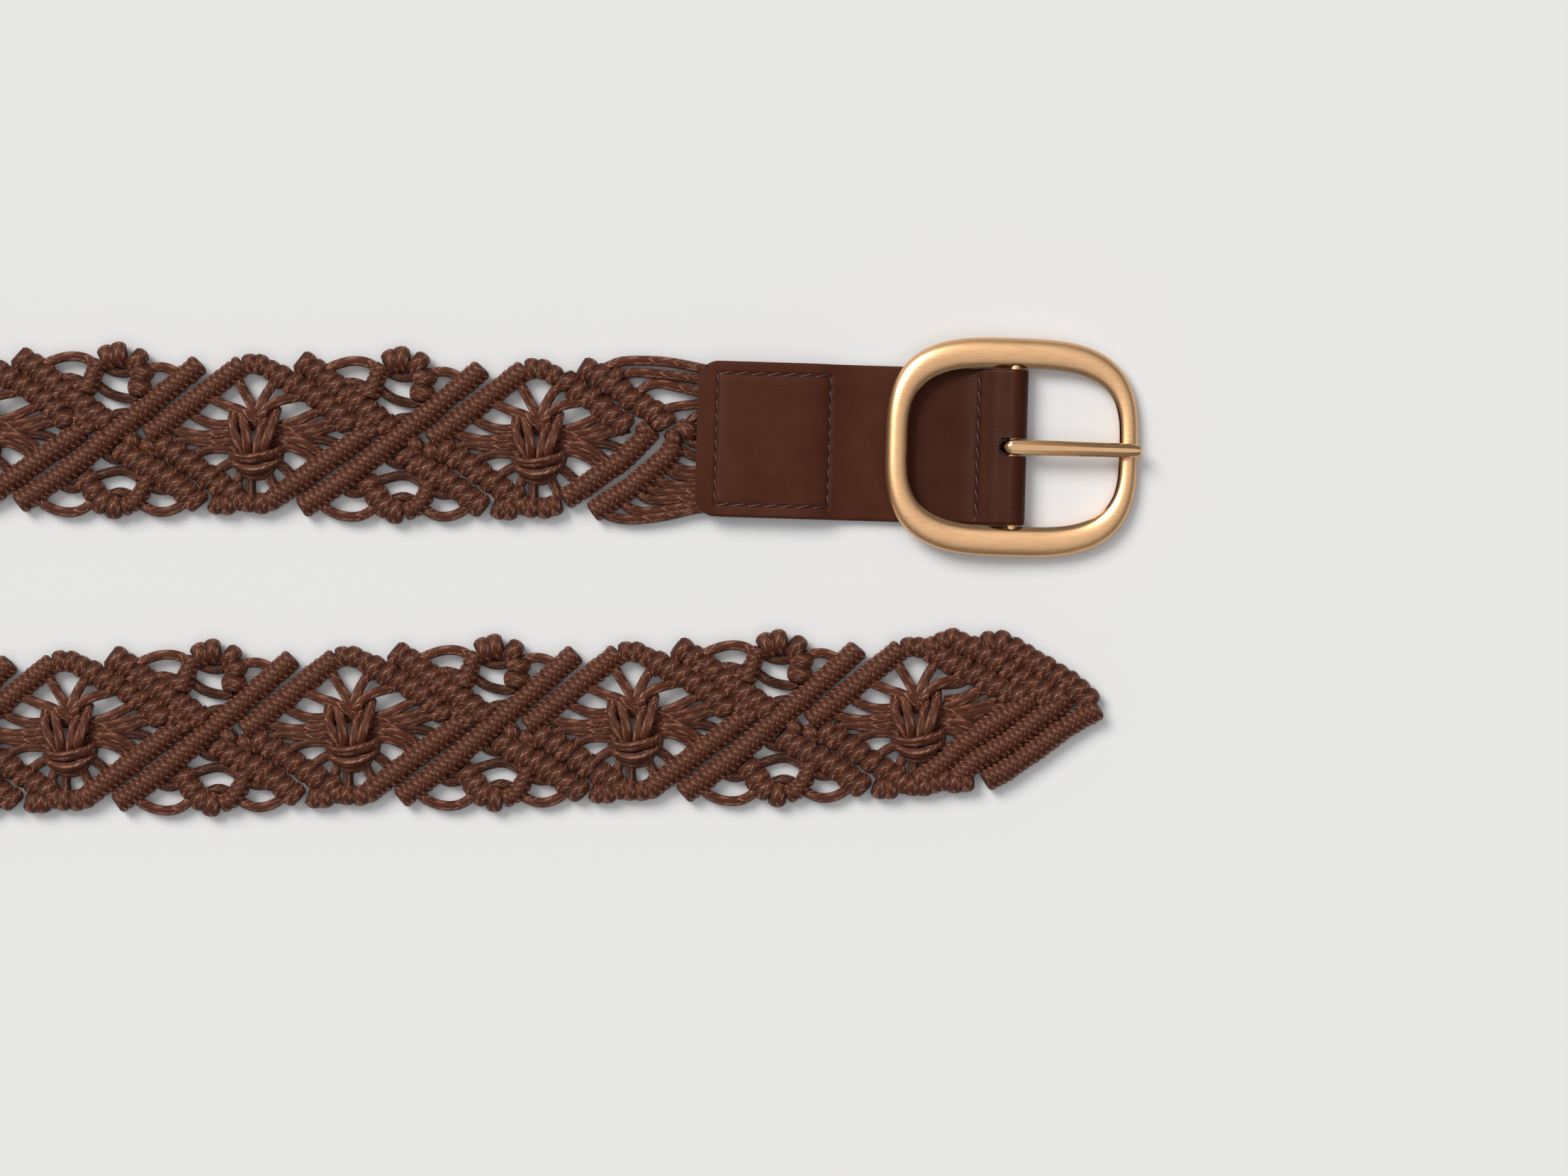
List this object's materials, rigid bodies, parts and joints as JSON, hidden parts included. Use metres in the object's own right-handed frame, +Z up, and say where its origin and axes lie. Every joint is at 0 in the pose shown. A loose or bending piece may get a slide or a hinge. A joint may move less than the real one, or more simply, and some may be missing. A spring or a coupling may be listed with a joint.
{
  "type": "knotted cord belt",
  "caption": "Openwork belt band knotted from waxed cord, with a leather tab and a centre-bar prong buckle, lying with both ends side by side.",
  "frame": {"origin": "centre of the belt's footprint, on the surface that it lies on", "axes": "+X towards the two ends, along the runs; +Y towards the buckle end's side; +Z up"},
  "size_m": [0.4792, 0.1852, 0.008],
  "materials": {
    "cord": "waxed cotton cord, matte with small bright flecks",
    "leather": "fine pebble grain, semi-matte",
    "frame_metal": "brushed light gold plating",
    "prong_metal": "polished light gold plating"
  },
  "bodies": {
    "strap": {"knotted_band": "cord", "leather_tab": "leather"},
    "frame": {"buckle_frame": "frame_metal"},
    "prong": {"prong": "prong_metal"}
  },
  "joints": [
    {"name": "frame_hinge", "type": "hinge", "parent": "strap", "child": "frame", "pos_m": [0.20673, 0.03426, 0.0036], "axis": [0.0297, 0.9996, 0], "range_deg": [0, 130]},
    {"name": "prong_hinge", "type": "hinge", "parent": "frame", "child": "prong", "pos_m": [0.20673, 0.03426, 0.0036], "axis": [-0.0297, -0.9996, 0], "range_deg": [0, 95]}
  ]
}
